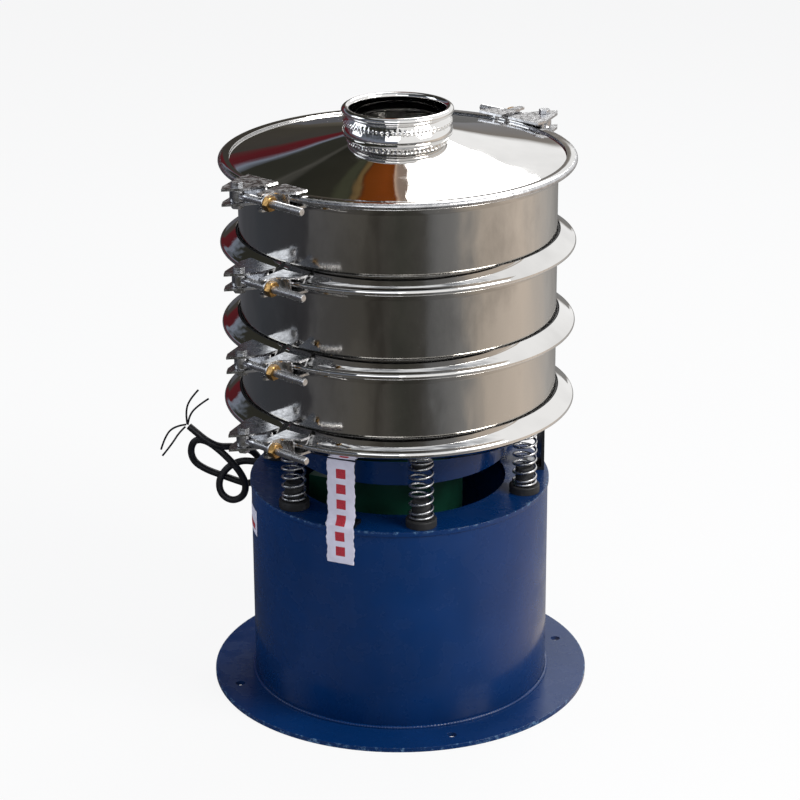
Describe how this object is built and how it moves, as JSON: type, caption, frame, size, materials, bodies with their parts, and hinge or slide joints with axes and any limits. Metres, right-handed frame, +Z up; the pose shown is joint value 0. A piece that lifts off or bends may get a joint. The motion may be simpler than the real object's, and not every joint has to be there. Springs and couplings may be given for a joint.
{
  "type": "vibrating sieve",
  "caption": "Round vibrating sieve: polished conical lid and clamped steel frames on a blue sprung table with a vertical motor inside a blue drum base.",
  "frame": {"origin": "centre of the floor flange on its underside", "axes": "+Z up the machine, -Y to the front, where the swing bolts of the left clamp joints are seen"},
  "size_m": [0.5662, 0.53, 0.7685],
  "materials": {
    "blue_paint": "gloss",
    "black_paint": "gloss",
    "zinc": "satin",
    "polished_steel": "mirror",
    "satin_steel": "satin",
    "bolt_steel": "satin",
    "brass": "satin",
    "black_rubber": "matte",
    "motor_green": "satin",
    "white_paper": "matte",
    "cable_black": "matte"
  },
  "bodies": {
    "base": {"floor_flange": "blue_paint", "base_drum": "blue_paint", "spring_ring": "blue_paint", "cable_gland": "zinc", "spring_feet": "black_rubber", "springs": "zinc", "transit_brackets": "black_paint", "bracket_bolts": "zinc", "notice_strip": "white_paper", "cable_lead": "cable_black", "cable_hank": "cable_black", "cable_cores": "cable_black"},
    "vibrating_body": {"spring_caps": "black_rubber", "vibrating_table": "blue_paint", "transit_bolts": "zinc", "motor_casing": "motor_green", "motor_bolts": "zinc", "motor_shields": "motor_green", "motor_bearings": "bolt_steel", "terminal_box": "motor_green", "top_frame": "satin_steel", "top_spout": "satin_steel", "middle_frame": "satin_steel", "middle_spout": "satin_steel", "bottom_frame": "satin_steel", "bottom_spout": "satin_steel", "upper_screen": "satin_steel", "lower_screen": "satin_steel", "bottom_pan": "satin_steel", "gaskets": "black_rubber", "lid": "polished_steel", "inlet_collar": "polished_steel", "lower_clamp_front": "polished_steel", "lower_clamp_rear": "polished_steel", "middle_clamp_front": "polished_steel", "middle_clamp_rear": "polished_steel", "upper_clamp_front": "polished_steel", "upper_clamp_rear": "polished_steel", "lid_clamp_front": "polished_steel", "lid_clamp_rear": "polished_steel", "pivot_bolts": "zinc"},
    "rotor": {"rotor_shaft": "bolt_steel", "upper_weight": "bolt_steel", "lower_weight": "bolt_steel"},
    "lower_bolt_left": {"lower_swing_bolt_left": "bolt_steel", "lower_nut_left": "brass"},
    "lower_bolt_right": {"lower_swing_bolt_right": "bolt_steel", "lower_nut_right": "brass"},
    "middle_bolt_left": {"middle_swing_bolt_left": "bolt_steel", "middle_nut_left": "brass"},
    "middle_bolt_right": {"middle_swing_bolt_right": "bolt_steel", "middle_nut_right": "brass"},
    "upper_bolt_left": {"upper_swing_bolt_left": "bolt_steel", "upper_nut_left": "brass"},
    "upper_bolt_right": {"upper_swing_bolt_right": "bolt_steel", "upper_nut_right": "brass"},
    "lid_bolt_left": {"lid_swing_bolt_left": "bolt_steel", "lid_nut_left": "brass"},
    "lid_bolt_right": {"lid_swing_bolt_right": "bolt_steel", "lid_nut_right": "brass"}
  },
  "joints": [
    {"name": "bounce", "type": "slide", "parent": "base", "child": "vibrating_body", "axis": [0, 0, 1], "range_m": [-0.0045, 0.0045], "stiffness_N_per_m": 60000, "springref_m": 0.011, "deforming": ["springs"]},
    {"name": "motor_spin", "type": "hinge", "parent": "vibrating_body", "child": "rotor", "pos_m": [0, 0, 0.24], "axis": [0, 0, 1], "continuous": true},
    {"name": "lower_swing_left", "type": "hinge", "parent": "vibrating_body", "child": "lower_bolt_left", "pos_m": [-0.19102, -0.16405, 0.3903], "axis": [0, 0, -1], "range_deg": [0, 100]},
    {"name": "lower_swing_right", "type": "hinge", "parent": "vibrating_body", "child": "lower_bolt_right", "pos_m": [0.19102, 0.16405, 0.3903], "axis": [0, 0, -1], "range_deg": [0, 100]},
    {"name": "middle_swing_left", "type": "hinge", "parent": "vibrating_body", "child": "middle_bolt_left", "pos_m": [-0.19102, -0.16405, 0.4918], "axis": [0, 0, -1], "range_deg": [0, 100]},
    {"name": "middle_swing_right", "type": "hinge", "parent": "vibrating_body", "child": "middle_bolt_right", "pos_m": [0.19102, 0.16405, 0.4918], "axis": [0, 0, -1], "range_deg": [0, 100]},
    {"name": "upper_swing_left", "type": "hinge", "parent": "vibrating_body", "child": "upper_bolt_left", "pos_m": [-0.19102, -0.16405, 0.5973], "axis": [0, 0, -1], "range_deg": [0, 100]},
    {"name": "upper_swing_right", "type": "hinge", "parent": "vibrating_body", "child": "upper_bolt_right", "pos_m": [0.19102, 0.16405, 0.5973], "axis": [0, 0, -1], "range_deg": [0, 100]},
    {"name": "lid_swing_left", "type": "hinge", "parent": "vibrating_body", "child": "lid_bolt_left", "pos_m": [-0.19102, -0.16405, 0.7028], "axis": [0, 0, -1], "range_deg": [0, 100]},
    {"name": "lid_swing_right", "type": "hinge", "parent": "vibrating_body", "child": "lid_bolt_right", "pos_m": [0.19102, 0.16405, 0.7028], "axis": [0, 0, -1], "range_deg": [0, 100]}
  ]
}
